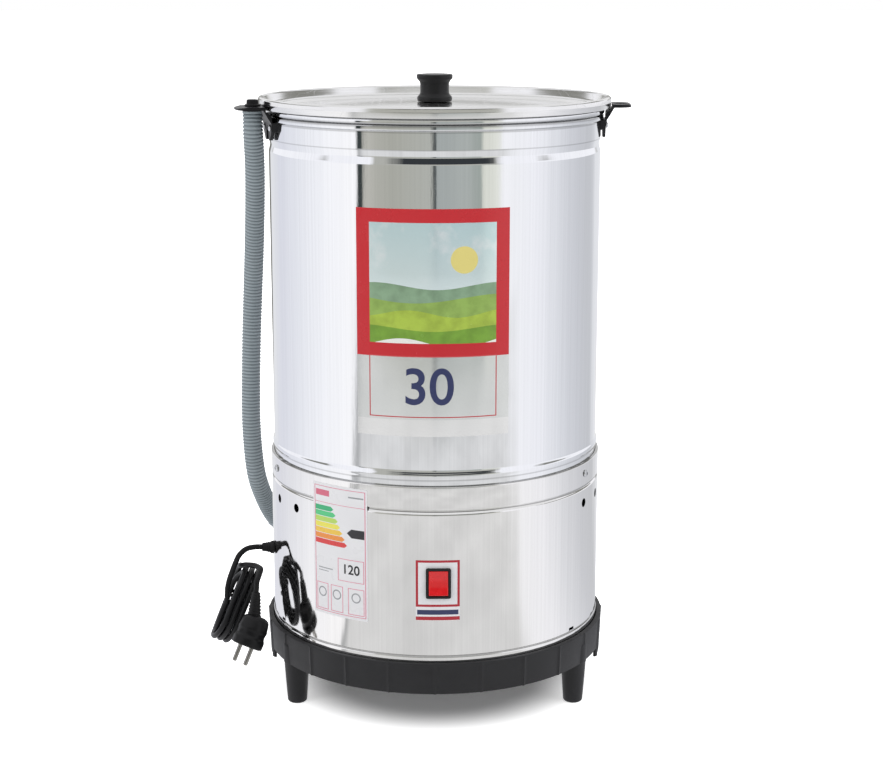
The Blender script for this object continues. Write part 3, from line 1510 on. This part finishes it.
def gland_direction():
    return (polar(1, GLAND_AZIMUTH) + Vector((0, 0, 0.08))).normalized()


def make_gland():
    """The strain relief: a flange on the housing and a sleeve that tapers along the cord."""
    sleeve = around(CORD_RADIUS, MID_ROUND)
    profile = [
        (sleeve, GLAND_LENGTH),
        (sleeve + 0.0012, GLAND_LENGTH),
        (sleeve + 0.0032, 0.0030),
        (GLAND_FLANGE_RADIUS, 0.0030),
        (GLAND_FLANGE_RADIUS, 0.0004),
        (GLAND_NECK_RADIUS, 0.0004),
        (GLAND_NECK_RADIUS, -0.0080),
        (sleeve, -0.0080),
    ]
    gland = turned("cord_gland", profile, rubber)
    gland.location = gland_start()
    turn = Vector((0, 0, 1)).rotation_difference(gland_direction())
    gland.rotation_euler = turn.to_euler()
    return gland


def coil_frame():
    """The hank's own frame: X along its length, Y across its loops, Z through its thickness."""
    lean = radians(COIL_LEAN)
    along = Vector((-sin(lean), 0, -cos(lean)))
    across = Vector((0, 1, 0))
    through = along.cross(across)
    frame = Matrix((along, across, through)).transposed().to_4x4()
    return Matrix.Translation(COIL_CENTRE) @ frame


def stadium(length, width, steps):
    """The outline of a slot shape with round ends, about the origin."""
    radius, run = width / 2, (length - width) / 2
    return [
        *arc((run, 0), radius, -90, 90, steps),
        *arc((-run, 0), radius, 90, 270, steps),
    ]


def on_coil(up, forward, out):
    """A point beside the hank: up along its length, forward across it and out through its thickness."""
    return coil_frame() @ Vector((-up, -forward, out))


def cord_route():
    """The lead from the housing to the hank's top."""
    start = gland_start()
    out = gland_direction()
    return [
        start - out * 0.0070,
        start + out * 0.0030,
        start + out * GLAND_LENGTH,
        start + out * (GLAND_LENGTH + 0.0060),
        on_coil(COIL_LENGTH / 2 + 0.0075, 0.0030, -0.0020),
        on_coil(COIL_LENGTH / 2 + 0.0018, 0.0050, -0.0070),
    ]


def tail_route():
    """The stretch from the top of the hank forward and down into the plug's sleeve."""
    return [
        on_coil(COIL_LENGTH / 2 + 0.0014, 0.0080, 0.0075),
        on_coil(COIL_LENGTH / 2 + 0.0085, 0.0190, 0.0120),
        Vector((-0.1862, -0.0790, 0.1455)),
        PLUG_ENTRY + plug_sleeve_direction() * 0.0110,
        PLUG_ENTRY + plug_sleeve_direction() * 0.0050,
        PLUG_ENTRY,
    ]


def plug_sleeve_root():
    """Where the plug's sleeve starts, inside its body."""
    return PLUG_FACE - PIN_DIRECTION * PLUG_LENGTH * 0.6


def plug_sleeve_direction():
    return (PLUG_ENTRY - plug_sleeve_root()).normalized()


def make_cord():
    """The lead, the hank of turns hanging from it, its tie, and the stretch to the plug."""
    tube("power_cord", smooth_route(cord_route(), 0.007), CORD_RADIUS, cord_rubber)
    outer = stadium(COIL_LENGTH, COIL_WIDTH, 10)
    inner = stadium(COIL_LENGTH - 2 * COIL_BUNDLE, COIL_WIDTH - 2 * COIL_BUNDLE, 8)
    half = COIL_DEPTH / 2
    coil = outline_solid("cord_coil", [outer, inner], -half, half, cord_rubber)
    coil.matrix_world = coil_frame()
    tube("cord_tail", smooth_route(tail_route(), 0.006), CORD_RADIUS, cord_rubber)
    make_tie()


def make_tie():
    """The twist tie round one side of the hank: a flat loop with its ends twisted outwards."""
    hole_width, hole_depth = COIL_BUNDLE + 2 * GAP, COIL_DEPTH + 2 * GAP
    inner = rounded_rectangle(hole_width, hole_depth, GAP / 2, 1)
    band = 2 * TIE_THICKNESS
    outer = rounded_rectangle(hole_width + band, hole_depth + band, TIE_THICKNESS, 2)
    tie = outline_solid("cord_tie", [outer, inner], -TIE_WIDTH / 2, TIE_WIDTH / 2, cord_rubber)
    side = COIL_WIDTH / 2 - COIL_BUNDLE / 2
    stand = Matrix(((0, 0, 1, 0), (1, 0, 0, 0), (0, 1, 0, 0), (0, 0, 0, 1)))
    tie.matrix_world = coil_frame() @ Matrix.Translation((0, side, 0)) @ stand


def make_plug():
    """The angled plug: a round body with a sleeve towards the cord and two pins."""
    back = PLUG_FACE - PIN_DIRECTION * PLUG_LENGTH
    body = rod("plug_body", PLUG_RADIUS, PLUG_FACE, back, cord_rubber, MID_ROUND, PLUG_RADIUS - 0.004)
    entry = PLUG_ENTRY - plug_sleeve_direction() * GAP
    sleeve = rod(
        "plug sleeve", 0.0085, plug_sleeve_root(), entry, None, SMALL_ROUND, 0.0048, cutters
    )
    boolean(body, as_cutter(sleeve), "UNION")
    side = PIN_DIRECTION.cross(Vector((0, 0, 1))).normalized()
    for i, sign in enumerate((-1, 1)):
        root = PLUG_FACE + side * sign * PIN_SPACING / 2
        pocket = rod(
            f"pin pocket {i + 1}",
            around(PIN_RADIUS),
            root - PIN_DIRECTION * 0.006,
            root + PIN_DIRECTION * 0.004,
            None,
            collection=cutters,
        )
        boolean(body, as_cutter(pocket))
        start = root - PIN_DIRECTION * 0.0057
        rod(f"plug_pin_{i + 1}", PIN_RADIUS, start, root + PIN_DIRECTION * PIN_LENGTH, brass, SMALL_ROUND)


clear_scene()
parts = make_collection("butter churn")
cutters = make_collection("cutters")

steel = make_material("polished steel", (0.80, 0.81, 0.83), 0.10, 1.0)
plain_steel = make_material("plain steel", (0.62, 0.63, 0.65), 0.30, 1.0)
cast_metal = make_material("cast aluminium", (0.55, 0.56, 0.58), 0.50, 0.9)
plastic = make_material("black plastic", (0.035, 0.036, 0.040), 0.45)
rubber = make_material("black rubber", (0.020, 0.020, 0.022), 0.60)
cord_rubber = make_material("cord sheath", (0.022, 0.022, 0.024), 0.40)
hose_plastic = make_material("hose plastic", (0.25, 0.30, 0.34), 0.45)
pale_plastic = make_material("pale plastic", (0.75, 0.76, 0.76), 0.40)
red = make_material("red plastic", (0.75, 0.02, 0.02), 0.25)
brass = make_material("nickelled brass", (0.70, 0.66, 0.58), 0.25, 1.0)

make_tray()
for number, azimuth in enumerate(LEG_AZIMUTHS, 1):
    make_leg(number, azimuth)
make_housing()
make_drum()
make_drum_floor()
for number, azimuth in enumerate(HOUSING_SCREW_AZIMUTHS, 1):
    make_housing_screw(number, azimuth)
make_lid()
make_knob()
make_knob_screw()
make_handle("handle_left", LEFT_HANDLE_AZIMUTH)
make_handle("handle_right", RIGHT_HANDLE_AZIMUTH)
for number, (azimuth, side) in enumerate(handle_screw_seats(), 1):
    make_handle_screw(number, azimuth, side)
make_drain()
make_bearings()
make_spindle()
make_belt()
make_motor()
make_capacitor()
make_switch()
make_gland()
make_cord()
make_plug()
